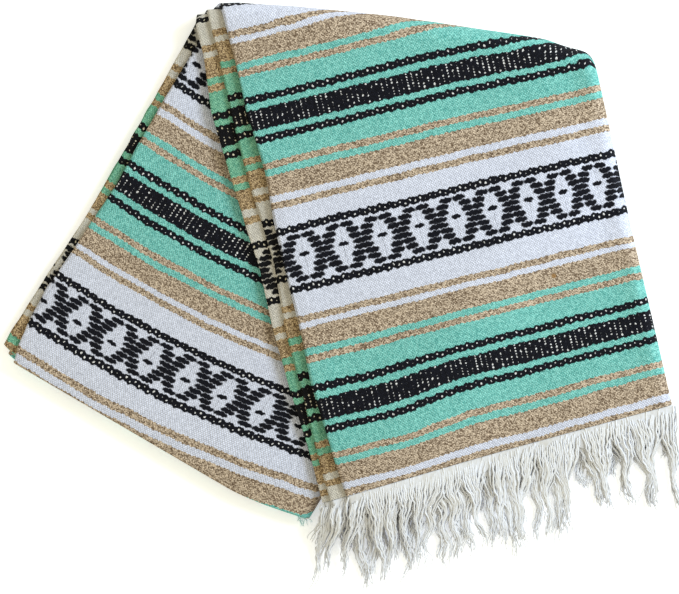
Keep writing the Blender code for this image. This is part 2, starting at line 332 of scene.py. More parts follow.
def front_mark(s, t):
    """How far ahead of the leg's measure the weave lies."""
    across = s / FRONT_WIDTH["hem"]
    left = read(FRONT_MARKS, "up", "left", t)
    middle = read(FRONT_MARKS, "up", "middle", t)
    right = read(FRONT_MARKS, "up", "right", t)
    inner = between(left, middle, smooth((across - 0.18) / 0.25))
    return between(inner, right, smooth((across - 0.55) / 0.42))


def back_weave(s, t):
    across = s / BACK_WIDTH["fold"]
    bow = BACK_WIDTH["fold"] * (-0.05 * across + 0.15 * across * across)
    return read(BACK_MARKS, "up", "weave", t - bow)


class Wall:
    """Two leaves joined by their fold at the right, as one bent wall of cloth."""

    def __init__(self, leaves, depths, slips):
        self.leaves = leaves
        self.upper, self.lower = depths
        self.front_slip, self.back_slip = slips

    def edge(self, start, depth, thick, steps_out):
        """The left edge of a leaf: its two plies, one standing a little out from the other."""
        ply = thick / 2
        low_out, high_out = steps_out
        angles = [math.pi * (1.5 - i / (EDGE_STEPS + 1)) for i in range(1, EDGE_STEPS + 1)]

        def rounded(out, middle):
            return [(start + ply - out + ply * math.cos(a), middle + ply * math.sin(a)) for a in angles]

        groove = [(start + 2.4 * ply, depth)]
        return rounded(low_out, depth - ply) + groove + rounded(high_out, depth + ply)

    def outline(self, edges, along, full=1.0):
        """(s, h, across the cloth, which leaf) round the section, the last from 0 to 1."""
        half = WALL / 2
        thick = half * full
        turn = (self.upper - self.lower) / 2
        straight_end = edges["right"] - FOLD_MIDDLE
        upper = FOLD_MIDDLE + turn
        lower = FOLD_MIDDLE - turn
        ends = (edges[self.leaves[0]] + half, edges[self.leaves[1]] + half)
        columns = [
            FIRST_COLUMN + (straight_end - FIRST_COLUMN) * u * (1.15 - 0.15 * u)
            for u in shares(COLUMNS)
        ]
        fold_width = math.pi * turn

        def row(end, h, leaf):
            across = [s if leaf == 0 else 2 * straight_end + fold_width - s for s in [end] + columns]
            return [(s, h, a, leaf) for s, a in zip([end] + columns, across)]

        def bend(radius, backward):
            found = []
            for i in range(1, ARC_STEPS):
                share = 1 - i / ARC_STEPS if backward else i / ARC_STEPS
                angle = math.pi * (0.5 - share)
                s = straight_end + radius * math.cos(angle)
                h = FOLD_MIDDLE + radius * math.sin(angle)
                found.append((s, h, straight_end + fold_width * share, share))
            return found

        def edge(end, depth, leaf, seed):
            wave = 0.0007 * noise.noise((along * 28, seed, 0.3))
            wave_two = 0.0007 * noise.noise((along * 34, seed, 7.9))
            step = (0.0009 + wave, -0.0002 + wave_two)
            if leaf == 1:
                step = (step[1], step[0])
            points = self.edge(end - half, depth, thick, step)
            return [
                (s, h, s if leaf == 0 else 2 * straight_end + fold_width - s, leaf)
                for s, h in points
            ]

        return (
            row(ends[0], upper + thick, 0)
            + bend(turn + thick, False)
            + row(ends[1], lower - thick, 1)[::-1]
            + edge(ends[1], lower, 1, 2.5 + self.leaves[1])
            + row(ends[1], lower + thick, 1)
            + bend(max(turn - thick, 0.00012), True)
            + row(ends[0], upper - thick, 0)[::-1]
            + edge(ends[0], upper, 0, 2.5 + self.leaves[0])
        )

    def front_weave(self, s, t, leaf):
        plain = t + front_mark(s, t)
        if not self.front_slip:
            return plain
        second = read(FRONT_SLIPS, "up", "second", t)
        third = read(FRONT_SLIPS, "up", "third", t)
        return plain + between(second, third, leaf)

    def back_weave(self, s, t, leaf):
        shown = back_weave(s, t) + self.back_slip
        around = math.pi * self.upper
        under = self.front_weave(s, front_top(s), 0.0) + around + back_top(s) - t
        return between(under, shown, leaf)


OUTER_WALL = Wall((1, 4), (PAD - WALL / 2, WALL / 2), (False, 0.0))
MIDDLE_WALL = Wall((2, 3), (PAD - LEAF - WALL / 2, LEAF + WALL / 2), (True, BACK_THIRD_SLIP))


def front_swell(s, t, right, amount):
    """Soft rises of the top panel: a puffed right fold with a trough beside it, and slow waves."""
    from_right = right - s
    broad = between(0.034, 0.017, smooth(t / 0.20))
    trough = between(0.026, 0.024, smooth(t / 0.30)) + 0.010 * hump(t, 0.02, 0.06)
    held = smooth(from_right / 0.012)
    rise = 0.0016 - 0.0014 * hump(from_right, trough, broad)
    rise += 0.0009 * hump(from_right, 0.010, 0.008)
    rise += 0.0010 * noise.noise((s * 9, t * 7, 1.7)) + 0.0004 * noise.noise((s * 24, t * 19, 4.2))
    rise += 0.0016 * hump(t - 0.25 * s, 0.045, 0.020) * smooth((0.13 - s) / 0.10)
    rise += 0.0012 * hump(s, 0.002, 0.016) * (0.6 + noise.noise((t * 18, 0.4, 2.2)))
    return max(rise, 0.0) * held * smooth((t + 0.010) / 0.030) * amount


def back_swell(s, t, amount):
    """Soft rises of the back leg's panel."""
    rise = 0.0010 + 0.0011 * noise.noise((s * 8, t * 8, 8.1)) + 0.0004 * noise.noise((s * 22, t * 20, 3.3))
    rise += 0.0012 * hump(s, 0.004, 0.014) * (0.5 + noise.noise((t * 15, 5.4, 1.2)))
    rise += 0.0020 * hump(s - 0.3 * t, 0.235, 0.030) * smooth((0.10 - t) / 0.08)
    return max(rise, 0.0) * amount


def wall_rings(wall, swelling):
    """Rings of (place, (across, up) the weave) down the front leg, over the ridge and down the back."""
    rings = []
    for share in shares(FRONT_STATIONS):
        edges = front_edges(share)
        ring = []
        for s, h, across, leaf in wall.outline(edges, share * front_top(0.0)):
            top = front_top(s)
            t = hem(s) + share * (top - hem(s))
            x, y = front_plan(s, t)
            lift = front_swell(s, t, edges["right"], swelling) * (1 - leaf)
            place = (x, y, underside(x, y) + h + lift)
            ring.append((place, (across, wall.front_weave(s, t, leaf))))
        rings.append(ring)
    front = wall.outline(front_edges(1.0), front_top(0.0))
    back = wall.outline(back_edges(0.0), front_top(0.0))
    for share in shares(RIDGE_STATIONS)[1:-1]:
        turn = math.pi * share
        ring = []
        for (f_s, h, across, leaf), (b_s, _, _, _) in zip(front, back):
            start = front_plan(f_s, front_top(f_s))
            end = back_plan(b_s, back_top(b_s))
            swell = front_swell(f_s, front_top(f_s), FRONT_WIDTH["ridge"], swelling) * (1 - leaf)
            radius = INNER_RADIUS + h + swell * (1 - share)
            out = radius * math.sin(turn)
            place = (
                between(start[0], end[0], share) + out * RIDGE_OUT[0],
                between(start[1], end[1], share) + out * RIDGE_OUT[1],
                AXIS_HEIGHT + radius * math.cos(turn),
            )
            low = wall.front_weave(f_s, front_top(f_s), leaf)
            high = wall.back_weave(b_s, back_top(b_s), leaf)
            ring.append((place, (across, between(low, high, share))))
        rings.append(ring)
    short = INNER_SHORT if wall is MIDDLE_WALL else 0.0
    closing = [(share, 0.0) for share in shares(BACK_STATIONS)]
    closing += [(1.0, LAST_TURN * i / CLOSING_STEPS) for i in range(1, CLOSING_STEPS + 1)]
    for share, angle in closing:
        ring = []
        outline = wall.outline(back_edges(share), front_top(0.0) + share, math.cos(angle))
        for s, h, across, leaf in outline:
            foot = fold(s) + short + WALL / 2 * (1 - math.sin(angle))
            top = back_top(s)
            t = top + share * (foot - top)
            x, y = back_plan(s, t)
            shown = 0 if wall is MIDDLE_WALL else leaf
            lift = back_swell(s, t, swelling) * shown * smooth((1 - share) / 0.06)
            place = (x, y, PAD - h + lift)
            ring.append((place, (across, wall.back_weave(s, t, leaf))))
        rings.append(ring)
    return rings


def wall_rungs():
    """Pairs across the bent wall, for its two ends."""
    outside = 2 * (COLUMNS + 1) + ARC_STEPS - 1
    edge = 2 * EDGE_STEPS + 1
    inside_last = 2 * outside + edge - 1
    return [(i, inside_last - i) for i in range(outside)]


def ladder(loop, rungs):
    """Faces that close an end, between one rung and the next."""
    found = [loop[rungs[0][1]:] + loop[: rungs[0][0] + 1]]
    for (a, b), (c, d) in zip(rungs, rungs[1:]):
        found.append(loop[a: c + 1] + loop[d: b + 1])
    found.append(loop[rungs[-1][0]: rungs[-1][1] + 1])
    return [face for face in found if len(face) > 2]


def skin(mesh, weave, rings, ends):
    """Faces between rings of (place, its measure in the weave), closed by the faces that ends gives."""
    loops, measure = [], {}
    for ring in rings:
        loop = []
        for place, mark in ring:
            vert = mesh.verts.new(place)
            measure[vert] = mark
            loop.append(vert)
        loops.append(loop)
    faces = []
    for one, other in zip(loops, loops[1:]):
        for i in range(len(one)):
            faces.append((one[i - 1], one[i], other[i], other[i - 1]))
    for end in (loops[0], loops[-1]):
        faces += ends(end)
    for face in faces:
        for corner in mesh.faces.new(face).loops:
            corner[weave].uv = measure[corner.vert]


def finished(name, mesh, finish):
    """The mesh as an object in the scene, smooth and with its finish."""
    bmesh.ops.recalc_face_normals(mesh, faces=mesh.faces)
    data = bpy.data.meshes.new(name)
    mesh.to_mesh(data)
    mesh.free()
    thing = bpy.data.objects.new(name, data)
    bpy.context.scene.collection.objects.link(thing)
    data.materials.append(finish)
    data.shade_smooth()
    return thing


def cloth(name, rings, rungs, finish):
    """A closed piece of cloth through the rings, with its weave measured in a UV map, in metres."""
    mesh = bmesh.new()
    weave = mesh.loops.layers.uv.new("Weave")
    skin(mesh, weave, rings, lambda end: ladder(end, rungs))
    thing = finished(name, mesh, finish)
    thing.data.set_sharp_from_angle(angle=math.radians(62))
    return thing


# ---------------------------------------------------------------- finishes


def sign_of(operation):
    """The pair of methods for a sign: with the Number first, and with the Number last."""

    def first(self, other):
        return self.finish.math(operation, self, other)

    def last(self, other):
        return self.finish.math(operation, other, self)

    return first, last


def of_one(operation):
    """The method for an operation on the Number alone."""
    return lambda self: self.finish.math(operation, self)


class Number:
    """A value in a finish that takes the ordinary signs."""

    def __init__(self, finish, socket):
        self.finish = finish
        self.socket = socket

    __add__, __radd__ = sign_of("ADD")
    __sub__, __rsub__ = sign_of("SUBTRACT")
    __mul__, __rmul__ = sign_of("MULTIPLY")
    __truediv__, __rtruediv__ = sign_of("DIVIDE")
    __mod__ = sign_of("FLOORED_MODULO")[0]
    __pow__ = sign_of("POWER")[0]
    __abs__ = of_one("ABSOLUTE")
    floor = of_one("FLOOR")
    part = of_one("FRACT")
    cos = of_one("COSINE")
    sin = of_one("SINE")
    sign = of_one("SIGN")

    def clamped(self):
        node = self.finish.node("ShaderNodeClamp", Value=self)
        return Number(self.finish, node.outputs[0])


def find(sockets, key):
    for socket in sockets:
        if key in (socket.identifier, socket.name):
            return socket
    raise KeyError(key)


class Finish:
    """A material under construction."""

    def __init__(self, name, roughness, sheen):
        self.made = bpy.data.materials.new(name)
        self.made.use_nodes = True
        self.tree = self.made.node_tree
        self.shader = self.tree.nodes["Principled BSDF"]
        self.shader.inputs["Roughness"].default_value = roughness
        self.shader.inputs["Sheen Weight"].default_value = sheen
        self.shader.inputs["Sheen Roughness"].default_value = 0.6
        self.shader.inputs["Specular IOR Level"].default_value = 0.08

    def join(self, socket, value):
        if isinstance(value, Number):
            value = value.socket
        if isinstance(value, bpy.types.NodeSocket):
            self.tree.links.new(socket, value)
        else:
            socket.default_value = value

    def node(self, kind, settings=None, **inputs):
        made = self.tree.nodes.new(kind)
        for key, value in (settings or {}).items():
            setattr(made, key, value)
        for key, value in inputs.items():
            self.join(find(made.inputs, key), value)
        return made

    def math(self, operation, *terms):
        made = self.node("ShaderNodeMath", {"operation": operation})
        for socket, term in zip(made.inputs, terms):
            self.join(socket, term)
        return Number(self, made.outputs[0])

    def larger(self, a, b):
        return self.math("MAXIMUM", a, b)

    def smaller(self, a, b):
        return self.math("MINIMUM", a, b)

    def point(self, x, y, z=0.0):
        return self.node("ShaderNodeCombineXYZ", X=x, Y=y, Z=z).outputs[0]

    def mix(self, share, a, b):
        settings = {"data_type": "RGBA", "blend_type": "MIX"}
        made = self.node("ShaderNodeMix", settings, Factor_Float=share, A_Color=a, B_Color=b)
        return find(made.outputs, "Result_Color")

    def darken(self, colour, amount):
        """The colour times a number."""
        settings = {"operation": "SCALE"}
        made = self.node("ShaderNodeVectorMath", settings, Vector=colour, Scale=amount)
        return made.outputs[0]

    def cloud(self, where, scale, detail=2.0, roughness=0.5):
        settings = {"noise_dimensions": "3D"}
        made = self.node(
            "ShaderNodeTexNoise", settings, Vector=where, Scale=scale, Detail=detail, Roughness=roughness
        )
        return Number(self, made.outputs[0])

    def chance(self, x, y):
        """A number from 0 to 1 that stays the same over one cell."""
        made = self.node(
            "ShaderNodeTexWhiteNoise", {"noise_dimensions": "2D"}, Vector=self.point(x, y)
        )
        return Number(self, made.outputs[0])

    def steps(self, share, stops):
        """Flat steps of colour; stops are (start, colour)."""
        made = self.node("ShaderNodeValToRGB", Fac=share)
        ramp = made.color_ramp
        ramp.interpolation = "CONSTANT"
        ramp.elements[0].position, ramp.elements[0].color = stops[0]
        ramp.elements[1].position, ramp.elements[1].color = stops[1]
        for start, colour in stops[2:]:
            ramp.elements.new(start).color = colour
        return made.outputs[0]

    def bump(self, height, distance, strength):
        made = self.node("ShaderNodeBump", Height=height, Distance=distance, Strength=strength)
        self.tree.links.new(self.shader.inputs["Normal"], made.outputs[0])

    def paint(self, colour):
        self.join(self.shader.inputs["Base Color"], colour)


def edge_of(distance, limit, soft):
    """1 inside the limit and 0 outside, over a soft edge."""
    return ((limit - distance) / soft + 0.5).clamped()


def opaque(colour):
    return (colour[0], colour[1], colour[2], 1.0)


def serape_weave(name, colours, sizes, painted_shade_share):
    """Weft-faced weave: stripes, bead chains, spotted black bands and the diamond band."""
    finish = Finish(name, 0.93, colours.sheen)
    separate = finish.node(
        "ShaderNodeSeparateXYZ", Vector=finish.node("ShaderNodeUVMap", {"uv_map": "Weave"}).outputs[0]
    )
    across = Number(finish, separate.outputs[0]) * 1000.0
    up = Number(finish, separate.outputs[1]) * 1000.0
    where = finish.point(across, up)

    warp, pick = sizes.warp_spacing * 1000, sizes.pick_spacing * 1000
    dot_pitch = 2 * warp
    turn = across * (math.pi / dot_pitch)
    drift = (finish.cloud(where, 0.030, 1.0) - 0.5) * 3.0
    ragged = (finish.chance((across / warp).floor(), (up / 9.0).floor()) - 0.5) * 0.9
    fuzzy = (finish.cloud(where, 0.7, 2.0) - 0.5) * 2.2
    height = up + drift + ragged + fuzzy + (turn * 2.0).cos() * 0.30
    place = height % REPEAT

    # The yarns
    column, row = (across / warp).floor(), (up / pick).floor()
    speck = finish.cloud(finish.point(across * 0.8, up * 1.3), 1.5, 2.0, 0.7)
    cell = finish.chance(column, row)
    grain = finish.chance((across / 1.25 + row * 0.37).floor(), (up / 0.95).floor())
    heather = ((speck - 0.5) * 1.9 + (grain - 0.5) * 1.15 + 0.5).clamped()
    tan = finish.mix(heather, opaque(colours.tan_dark), opaque(colours.tan_light))
    from_slub = ((across - SLUB_PLACE[0]) ** 2.0 + (up - SLUB_PLACE[1]) ** 2.0) ** 0.5
    tan = finish.mix(edge_of(from_slub + speck * 2.0, SLUB_SIZE, 1.0), tan, opaque(colours.slub))
    fleck = ((speck - 0.5) * 1.5 + (grain - 0.5) * 0.9 + 0.5).clamped()
    mint = finish.mix(fleck, opaque(colours.mint_deep), opaque(colours.mint_pale))
    white = finish.mix(fleck, opaque(colours.white_shade), opaque(colours.white))

    def stops(tested):
        found, at = [], 0.0
        for yarn, width in STRIPES:
            value = 1.0 if yarn == tested else 0.0
            found.append((at / REPEAT, (value, value, value, 1.0)))
            at += width
        kept = [found[0]]
        for stop in found[1:]:
            if stop[1] != kept[-1][1]:
                kept.append(stop)
        return kept

    share = place / REPEAT
    is_tan = finish.steps(share, stops("tan"))
    is_white = finish.steps(share, stops("white"))
    ground = finish.mix(is_tan, mint, tan)
    ground = finish.mix(is_white, ground, white)

    # Black yarn: bead chains
    dot_column = (across / dot_pitch).floor()
    from_dot = ((across / dot_pitch).part() - 0.5) * dot_pitch
    side = (dot_column % 2.0) * 2.0 - 1.0
    black = None
    light = None
    for middle in CHAINS:
        away = place - middle
        scallop = (turn + away.sign() * 1.2).cos() * 0.62
        body = edge_of(abs(away), scallop + CHAIN_HALF, 0.5)
        spot_away = away - side * 0.95
        radius = (from_dot * from_dot + spot_away * spot_away) ** 0.5
        size = finish.chance(dot_column, (up / 40.0).floor() + middle) * 0.75 + 0.22
        spot = edge_of(radius, size, 0.35)
        black = body if black is None else finish.larger(black, body)
        light = spot if light is None else finish.larger(light, spot)

    # The black band and its spots
    away = place - BLACK_BAND
    scallop = (turn + away.sign() * 0.7).cos() * 0.35
    band = edge_of(abs(away), scallop + BLACK_BAND_HALF, 0.5)
    black = finish.larger(black, band)
    spot_row = place / SPOT_PITCH + (dot_column % 2.0) * 0.5
    row_away = (spot_row.part() - 0.5) * SPOT_PITCH
    radius = (from_dot * from_dot + row_away * row_away) ** 0.5
    size = finish.chance(dot_column, spot_row.floor()) * 1.25 - 0.32
    inside = edge_of(abs(away), SPOTTED_HALF, 0.5)
    light = finish.larger(light, edge_of(radius, size, 0.35) * inside)

    # Diamonds
    count = len(DIAMOND_ROWS)
    rows = (place - DIAMOND_START) / DIAMOND_ROW
    row_share = rows.floor() / float(count) + 0.5 / count
    table = [
        (i / count, (2 * entry["dash"], 2 * entry["half"], 2 * entry["dot"], 1.0))
        for i, entry in enumerate(DIAMOND_ROWS)
    ]
    chart = finish.node("ShaderNodeSeparateColor", Color=finish.steps(row_share, table))
    dash, half, dot_half = (Number(finish, chart.outputs[i]) * 0.5 for i in range(3))
    wander = (finish.chance(rows.floor(), (across / 19.6).floor()) - 0.5) * 0.03
    crowded = finish.smaller(across / 310.0, 1.0)
    phase = (across - DIAMOND_OFFSET) / (sizes.diamond_repeat * 1000)
    phase = phase + crowded * crowded * DIAMOND_CROWDING + wander
    from_crossing = 0.5 - abs(phase.part() - 0.5)
    level = (rows.part() - 0.5) * DIAMOND_ROW / DASH_HALF
    reach = (from_crossing - dash) / half
    shape = 1.0 + (speck - 0.5) * 0.9 - (reach * reach * (0.65 + 0.35 * reach * reach) + level * level)
    reach = (0.5 - from_crossing) / finish.larger(dot_half, 0.004)
    dotted = 1.0 - (reach * reach + (level * 1.25) * (level * 1.25))
    in_rows = edge_of(abs(rows - count / 2), count / 2, 0.05)
    figure = (finish.larger(shape, dotted) * 2.2 + 0.5).clamped() * in_rows
    black = finish.larger(black, figure)

    ink = finish.mix(heather, opaque(colours.black), opaque(colours.black_worn))
    painted = finish.mix(black, ground, ink)
    painted = finish.mix((light * black).clamped(), painted, opaque(colours.warp))

    # Painted shade of the weave: darker in the grooves between the weft floats and lighter along the ribs
    # of the warps, with a random tone for each cell and slow broad patches, lighter and darker
    float_across = (across / warp + (row % 2.0) * 0.5 + finish.chance(row, 3.5) * 0.16).part()
    float_up = (up / pick).part()
    bulge = (float_across * math.pi).sin() * ((float_up * math.pi).sin() * 0.6 + 0.4)
    rib = (across * (math.pi / dot_pitch)).sin()
    broad_patches = finish.cloud(where, 0.011, 3.0)
    shade = 0.80 + bulge * 0.27 + (rib * rib) * 0.05 + (cell - 0.5) * 0.14 + (broad_patches - 0.5) * 0.12
    shaded = finish.darken(painted, shade)
    # Painted shade: the colour is mixed, by this share, toward itself times the warm cream darkening
    if painted_shade_share:
        multiply = {"operation": "MULTIPLY"}
        painted_shade_node = finish.node("ShaderNodeVectorMath", multiply, Vector=shaded, Vector_001=PAINTED_SHADE_TINT)
        shaded = finish.mix(painted_shade_share, shaded, painted_shade_node.outputs[0])
    finish.paint(shaded)
    finish.bump(bulge + (speck - 0.5) * 0.6, sizes.weave_relief, 0.8)
    return finish.made


# How finely the yarn is streaked along x, y and z
FINE_STREAKS, COARSE_STREAKS = (900.0, 110.0, 900.0), (420.0, 160.0, 420.0)


def loose_yarn(name, colour, shade, sheen, stretch):
    """Loose yarn, streaked along its run."""
    finish = Finish(name, 0.9, sheen)
    place = finish.node("ShaderNodeTexCoord").outputs["Object"]
    mapped = finish.node("ShaderNodeMapping", Vector=place, Scale=stretch).outputs[0]
    streak = finish.cloud(mapped, 1.0, 3.0, 0.6)
    blotch = finish.cloud(place, 60.0, 2.0)
    share = ((streak - 0.5) * 2.4 + (blotch - 0.5) * 1.2 + 0.55).clamped()
    finish.paint(finish.mix(share, opaque(shade), opaque(colour)))
    finish.bump(streak, 0.0004, 0.6)
    return finish.made


# ---------------------------------------------------------------- headings and fringe


def hem_line(leaf, across):
    """s and t of the hem at this share of the way across one leaf."""
    edges = front_edges(0.0)
    s = between(edges[leaf] + 0.001, edges["right"] - 0.001, across)
    return s, hem(s)


def ply_depth(ply):
    """Middle depth of a ply in the pad, from the top down."""
    return PAD - PLY / 2 - ply * (PAD - PLY) / 7


def hang_height(ply, root, run):
    """Height of a ply's yarn this far out from its root at the hem."""
    level = underside(*root) + ply_depth(ply)
    rest = 0.0008 + 0.00085 * (7 - ply)
    return between(level, rest, smooth(run / (0.030 + 1.1 * level)))


def heading_faces(mesh, weave, ply):
    """One ply's heading: a rounded strip along the hem, matted into the roots of the fringe."""
    rings = []
    for across in shares(150):
        s, t = hem_line(ply // 2 + 1, across)
        s -= 0.0012 * (ply % 2) * (1 - across)
        root = front_plan(s, t)
        length = HEADING_LENGTH + 0.0030 + 0.0055 * noise.noise((s * 130, ply * 3.1, 0.5))
        length += min(ply, 3) * 0.0050
        thick = PLY * (0.38 + 0.16 * noise.noise((s * 170, ply * 2.3, 4.5)))
        ring = []
        for i in range(20):
            angle = 2 * math.pi * i / 20
            along = math.copysign(abs(math.cos(angle)) ** 0.7, math.cos(angle))
            over = math.copysign(abs(math.sin(angle)) ** 0.8, math.sin(angle))
            reach = (0.5 - 0.5 * along) * length
            x, y = front_plan(s, t - reach - GAP / 2)
            middle = hang_height(ply, root, reach)
            z = max(middle + over * thick * (1 - 0.45 * reach / length), 0.0002)
            ring.append(((x, y, z), (s, -reach)))
        rings.append(ring)
    skin(mesh, weave, rings, lambda end: [end])


# Reach and lean of the fringe across the hem; lean in degrees from straight down
FRINGE_REACH = columns(
    "across length lean",
    (0.00, 0.097, -6.0),
    (0.20, 0.106, -1.0),
    (0.40, 0.102, 1.0),
    (0.60, 0.096, 2.0),
    (0.80, 0.108, 2.0),
    (1.00, 0.106, 1.0),
)
# The lower plies' tufts lie between the upper ones, and are shorter
UPPER_PLIES, LOWER_SHARE = 5, 0.54


def tuft(chance, middle):
    """How one tuft of the fringe hangs: its locks, one of each ply, hang much alike."""
    return {
        "across": middle,
        "length": read(FRINGE_REACH, "across", "length", middle) * chance.uniform(0.80, 1.08),
        "lean": read(FRINGE_REACH, "across", "lean", middle) + chance.gauss(0, 6.5)
        - 26 * max(0.05 - middle, 0) / 0.05,
        "sway": chance.uniform(0.0008, 0.0030),
        "sway_from": chance.uniform(0, 6.3),
        "wave": chance.uniform(0.030, 0.055),
    }


def lock(chance, ply, hang, strands, strand_width):
    """The yarns of one lock of fringe, each a list of (place, radius), over a softer core."""
    across = min(max(hang["across"] + chance.gauss(0, 0.0022), 0.008), 0.992)
    s, t = hem_line(ply // 2 + 1, across)
    length = hang["length"] * chance.uniform(0.84, 1.0)
    lean = hang["lean"] + chance.gauss(0, 0.7)
    sway_from = hang["sway_from"] + chance.gauss(0, 0.35)
    part, gap = chance.uniform(0.50, 0.80), chance.uniform(0.0002, 0.0018)
    along = direction(math.radians(lean - 90))
    wide = 0.0082
    found = []
    for k in range(strands):
        core = k == strands // 2
        side = 2 * k / (strands - 1) - 1
        root = front_plan(s + side * wide, t - HEADING_LENGTH * chance.uniform(0.02, 0.80))
        own = length * (0.80 if core else chance.uniform(0.78, 1.0) * (1 - 0.12 * abs(side)))
        twist, crimp = chance.uniform(0, 6.3), chance.uniform(0.0075, 0.0120)
        branch = math.copysign(gap, side) + chance.gauss(0, 0.0008)
        if chance.random() < 0.05:
            branch *= 3.5
        line = []
        for share in shares(18):
            run = share * own
            gather = between(wide, 0.0010, smooth((share - 0.05) / 0.80))
            swing = hang["sway"] * math.sin(run / hang["wave"] * 2 * math.pi + sway_from)
            crinkle = 0.00065 * math.sin(run / crimp * 2 * math.pi + twist)
            across_lock = side * (gather - wide) + branch * smooth((share - part) / (1 - part))
            across_lock += swing * smooth(share / 0.35) + crinkle * smooth(share / 0.15)
            x = root[0] + along[0] * run + across_lock * FRONT_ACROSS[0]
            y = root[1] + along[1] * run + across_lock * FRONT_ACROSS[1]
            z = hang_height(ply, root, run) + PLY * 0.30 * (1 - share)
            z += 0.0012 * math.cos(side * 1.4) * smooth(share / 0.3)
            z += 0.0004 * math.sin(run / 0.013 * 2 * math.pi + twist) * smooth(share / 0.2)
            radius = strand_width / 2 * between(1.0, 0.45, smooth((share - 0.40) / 0.60))
            if core:
                radius *= between(2.6, 1.0, smooth((share - 0.25) / 0.70)) * smooth(share / 0.06 + 0.25)
                z -= strand_width * 0.9 * (1 - share)
            line.append(((x, y, max(z, radius)), radius))
        found.append(line)
    return found


def strand_piece(name, lines, finish):
    """Thin yarns joined into one mesh."""
    data = bpy.data.curves.new(name, "CURVE")
    data.dimensions = "3D"
    data.bevel_depth = 1.0
    data.bevel_resolution = 0
    data.use_fill_caps = True
    for line in lines:
        spline = data.splines.new("POLY")
        spline.points.add(len(line) - 1)
        for point, (place, radius) in zip(spline.points, line):
            point.co = (*place, 1.0)
            point.radius = radius
    thing = bpy.data.objects.new(name, data)
    bpy.context.scene.collection.objects.link(thing)
    bpy.ops.object.select_all(action="DESELECT")
    thing.select_set(True)
    bpy.context.view_layer.objects.active = thing
    bpy.ops.object.convert(target="MESH")
    thing = bpy.context.view_layer.objects.active
    thing.data.materials.clear()
    thing.data.materials.append(finish)
    thing.data.shade_smooth()
    return thing


# ---------------------------------------------------------------- what a user changes


def length_property(name, description, default, least, most, precision=4):
    return FloatProperty(
        name=name, description=description, default=default, min=least, max=most,
        unit="LENGTH", precision=precision,
    )


class SerapeSizes(bpy.types.PropertyGroup):
    """Sizes of the cloth and its yarns."""

    warp_spacing: length_property("Warp spacing", "Distance between warps", 0.0024, 0.001, 0.006)
    pick_spacing: length_property("Pick spacing", "Distance between rows of weft", 0.0014, 0.0006, 0.004)
    diamond_repeat: length_property("Diamond repeat", "Width of one diamond", 0.0380, 0.02, 0.08)
    weave_relief: length_property("Weave relief", "Depth of the weave's surface", 0.0007, 0.0, 0.002)
    swelling: FloatProperty(
        name="Swelling", description="Strength of the panels' soft rises", default=1.25,
        min=0.0, max=2.0, subtype="FACTOR",
    )
    strand_width: length_property("Strand width", "Width of one yarn of the fringe", 0.0018, 0.0005, 0.004)
    locks: IntProperty(
        name="Locks", description="Locks of fringe on each ply", default=21, min=10, max=60,
    )
    strands: IntProperty(
        name="Strands", description="Yarns in each lock", default=9, min=3, max=12,
    )


def colour_property(name, description, default):
    return FloatVectorProperty(
        name=name, description=description, default=default, min=0.0, max=1.0, subtype="COLOR"
    )


class SerapeColours(bpy.types.PropertyGroup):
    """Colours of the yarns."""

    mint_deep: colour_property("Mint, deep", "Shaded fibres of the mint yarn", (0.075, 0.32, 0.30))
    mint_pale: colour_property("Mint, pale", "Lit fibres of the mint yarn", (0.27, 0.65, 0.61))
    tan_dark: colour_property("Tan, dark", "Brown fibres of the tan yarn", (0.115, 0.072, 0.044))
    tan_light: colour_property("Tan, light", "Pale fibres of the tan yarn", (0.64, 0.52, 0.405))
    white: colour_property("White", "White yarn", (0.69, 0.725, 0.88))
    white_shade: colour_property("White, shaded", "Shaded fibres of the white yarn", (0.50, 0.525, 0.64))
    slub: colour_property("Slub", "A thick brown knot in the tan yarn", (0.30, 0.17, 0.07))
    black: colour_property("Black", "Black yarn", (0.004, 0.004, 0.006))
    black_worn: colour_property("Black, worn", "Rubbed fibres of the black yarn", (0.008, 0.009, 0.016))
    warp: colour_property("Warp", "White warp between the black yarns", (0.70, 0.70, 0.72))
    heading: colour_property("Heading", "Packed yarn of the heading", (0.64, 0.66, 0.73))
    heading_shade: colour_property("Heading, shaded", "Shaded yarn of the heading", (0.54, 0.53, 0.52))
    fringe: colour_property("Fringe", "Fringe yarn", (0.74, 0.76, 0.83))
    fringe_shade: colour_property("Fringe, shaded", "Shaded fibres of the fringe", (0.66, 0.65, 0.64))
    sheen: FloatProperty(
        name="Sheen", description="Soft sheen of the fibres", default=0.02, min=0.0, max=1.0,
        subtype="FACTOR",
    )


class SerapeStage(bpy.types.PropertyGroup):
    """Camera and light."""

    floor_glow: FloatProperty(
        name="Floor's glow", description="Light the floor gives off, to keep its shadow faint",
        default=0.36, min=0.0, max=2.0,
    )
    camera_height: FloatProperty(
        name="Camera height", description="Camera's height above the surface", default=3.2,
        min=0.5, max=10.0, unit="LENGTH",
    )
    view_width: FloatProperty(
        name="View width", description="Width of the surface that is seen", default=0.6342,
        min=0.1, max=3.0, unit="LENGTH",
    )
    key_power: FloatProperty(
        name="Key light", description="Power of the key light", default=49.0, min=0.0, max=500.0,
        unit="POWER",
    )
    sky_strength: FloatProperty(
        name="Surround", description="Brightness of the light all round", default=0.82,
        min=0.0, max=5.0,
    )


# ---------------------------------------------------------------- making


def declare(piece, slot, *nodes):
    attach(piece, "root")
    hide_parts(*nodes)


class SERAPE_OT_outer_leaves(bpy.types.Operator):
    """Makes leaves 1 and 4 with their fold: the cloth that shows on both legs and over the ridge"""

    bl_idname = "serape.outer_leaves"
    bl_label = "Outer leaves"

    def execute(self, context):
        sizes, colours = context.scene.serape_sizes, context.scene.serape_colours
        finish = serape_weave("serape weave", colours, sizes, 0.0)
        rings = wall_rings(OUTER_WALL, sizes.swelling)
        piece = cloth("outer_leaves", rings, wall_rungs(), finish)
        declare(piece, "striped_weave", "front_stretch", "ridge_stretch", "back_stretch")
        return {"FINISHED"}


